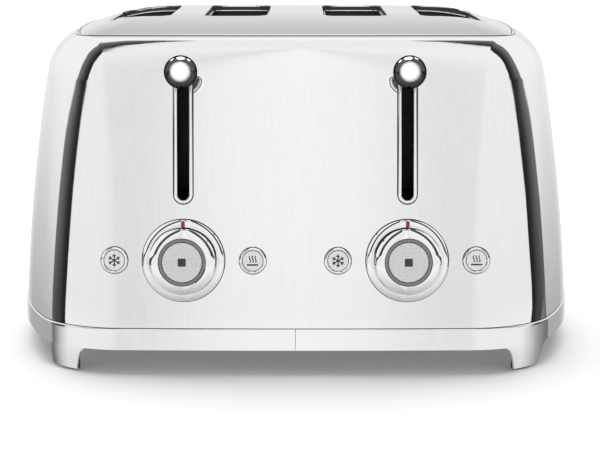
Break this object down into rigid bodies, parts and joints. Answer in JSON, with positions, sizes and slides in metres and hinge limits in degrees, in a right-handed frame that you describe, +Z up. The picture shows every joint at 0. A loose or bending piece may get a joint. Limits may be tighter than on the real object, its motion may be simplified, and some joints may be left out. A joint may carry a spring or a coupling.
{
  "type": "four-slice toaster",
  "caption": "Rounded polished-steel toaster with side-by-side bread slots, ball-ended lowering levers, browning dials, push buttons and slide-out crumb trays.",
  "frame": {"origin": "middle of the overall footprint, on the surface that the toaster stands on", "axes": "+X to the right as seen from the controls, +Y towards the back, +Z up"},
  "size_m": [0.39, 0.3376, 0.2306],
  "materials": {
    "polished_steel": "mirror-polished stainless steel with a faint upright grain",
    "chrome": "bright chrome plate",
    "galvanised": "dull zinc-coated sheet and wire",
    "spring_steel": "bare steel wire and rod",
    "satin_grey": "satin light grey",
    "ring_plastic": "dark grey, semi-gloss",
    "dark_plastic": "black, matt",
    "rubber": "black, matt",
    "mica": "mica sheet, matt",
    "circuit_board": "green board",
    "coil": "lacquered copper winding on a steel yoke"
  },
  "bodies": {
    "housing": {"body_shell": "polished_steel", "top_cover": "polished_steel", "base_trim_left": "chrome", "base_trim_right": "chrome", "base_plate": "galvanised", "chamber_plate_front": "galvanised", "chamber_plate_rear": "galvanised", "cord_gland": "dark_plastic", "foot_pad_front_left": "rubber", "foot_pad_front_right": "rubber", "foot_pad_rear_left": "rubber", "foot_pad_rear_right": "rubber", "heater_board_1": "mica", "heater_board_2": "mica", "heater_board_3": "mica", "heater_board_4": "mica", "heater_board_5": "mica", "heater_board_6": "mica", "bread_guard_1": "galvanised", "bread_guard_2": "galvanised", "bread_guard_3": "galvanised", "bread_guard_4": "galvanised", "guide_rod_left": "spring_steel", "return_spring_left": "spring_steel", "latch_magnet_left": "coil", "lever_bezel_left": "chrome", "dial_bezel_left": "chrome", "defrost_bezel_left": "chrome", "reheat_bezel_left": "chrome", "stop_sleeve_left": "ring_plastic", "control_board_left": "circuit_board", "guide_rod_right": "spring_steel", "return_spring_right": "spring_steel", "latch_magnet_right": "coil", "lever_bezel_right": "chrome", "dial_bezel_right": "chrome", "defrost_bezel_right": "chrome", "reheat_bezel_right": "chrome", "stop_sleeve_right": "ring_plastic", "control_board_right": "circuit_board"},
    "lever_left": {"lever_carriage_left": "galvanised", "lever_ball_left": "chrome", "bread_rack_1": "galvanised", "bread_rack_2": "galvanised"},
    "dial_left": {"browning_dial_left": "chrome"},
    "stop_left": {"stop_button_left": "satin_grey"},
    "defrost_left": {"defrost_button_left": "satin_grey"},
    "reheat_left": {"reheat_button_left": "satin_grey"},
    "tray_left": {"crumb_tray_left": "galvanised"},
    "lever_right": {"lever_carriage_right": "galvanised", "lever_ball_right": "chrome", "bread_rack_3": "galvanised", "bread_rack_4": "galvanised"},
    "dial_right": {"browning_dial_right": "chrome"},
    "stop_right": {"stop_button_right": "satin_grey"},
    "defrost_right": {"defrost_button_right": "satin_grey"},
    "reheat_right": {"reheat_button_right": "satin_grey"},
    "tray_right": {"crumb_tray_right": "galvanised"}
  },
  "joints": [
    {"name": "lever_slide_left", "type": "slide", "parent": "housing", "child": "lever_left", "axis": [0, 0, -1], "range_m": [0, 0.078], "stiffness_N_per_m": 90, "springref_m": -0.055, "deforming": ["return_spring_left"]},
    {"name": "dial_turn_left", "type": "hinge", "parent": "housing", "child": "dial_left", "pos_m": [-0.0727, -0.14976, 0.0761], "axis": [-0.0181, -0.9961, 0.0866], "range_deg": [-135, 135]},
    {"name": "stop_press_left", "type": "slide", "parent": "housing", "child": "stop_left", "axis": [0.0181, 0.9961, -0.0866], "range_m": [0, 0.0025], "stiffness_N_per_m": 500, "springref_m": -0.001},
    {"name": "defrost_press_left", "type": "slide", "parent": "housing", "child": "defrost_left", "axis": [0.0846, 0.9926, -0.0866], "range_m": [0, 0.002], "stiffness_N_per_m": 500, "springref_m": -0.001},
    {"name": "reheat_press_left", "type": "slide", "parent": "housing", "child": "reheat_left", "axis": [0.0069, 0.9962, -0.0866], "range_m": [0, 0.002], "stiffness_N_per_m": 500, "springref_m": -0.001},
    {"name": "tray_slide_left", "type": "slide", "parent": "housing", "child": "tray_left", "axis": [0, 1, 0], "range_m": [0, 0.2]},
    {"name": "lever_slide_right", "type": "slide", "parent": "housing", "child": "lever_right", "axis": [0, 0, -1], "range_m": [0, 0.078], "stiffness_N_per_m": 90, "springref_m": -0.055, "deforming": ["return_spring_right"]},
    {"name": "dial_turn_right", "type": "hinge", "parent": "housing", "child": "dial_right", "pos_m": [0.0727, -0.14976, 0.0761], "axis": [0.0181, -0.9961, 0.0866], "range_deg": [-135, 135]},
    {"name": "stop_press_right", "type": "slide", "parent": "housing", "child": "stop_right", "axis": [-0.0181, 0.9961, -0.0866], "range_m": [0, 0.0025], "stiffness_N_per_m": 500, "springref_m": -0.001},
    {"name": "defrost_press_right", "type": "slide", "parent": "housing", "child": "defrost_right", "axis": [-0.0069, 0.9962, -0.0866], "range_m": [0, 0.002], "stiffness_N_per_m": 500, "springref_m": -0.001},
    {"name": "reheat_press_right", "type": "slide", "parent": "housing", "child": "reheat_right", "axis": [-0.0846, 0.9926, -0.0866], "range_m": [0, 0.002], "stiffness_N_per_m": 500, "springref_m": -0.001},
    {"name": "tray_slide_right", "type": "slide", "parent": "housing", "child": "tray_right", "axis": [0, 1, 0], "range_m": [0, 0.2]}
  ]
}
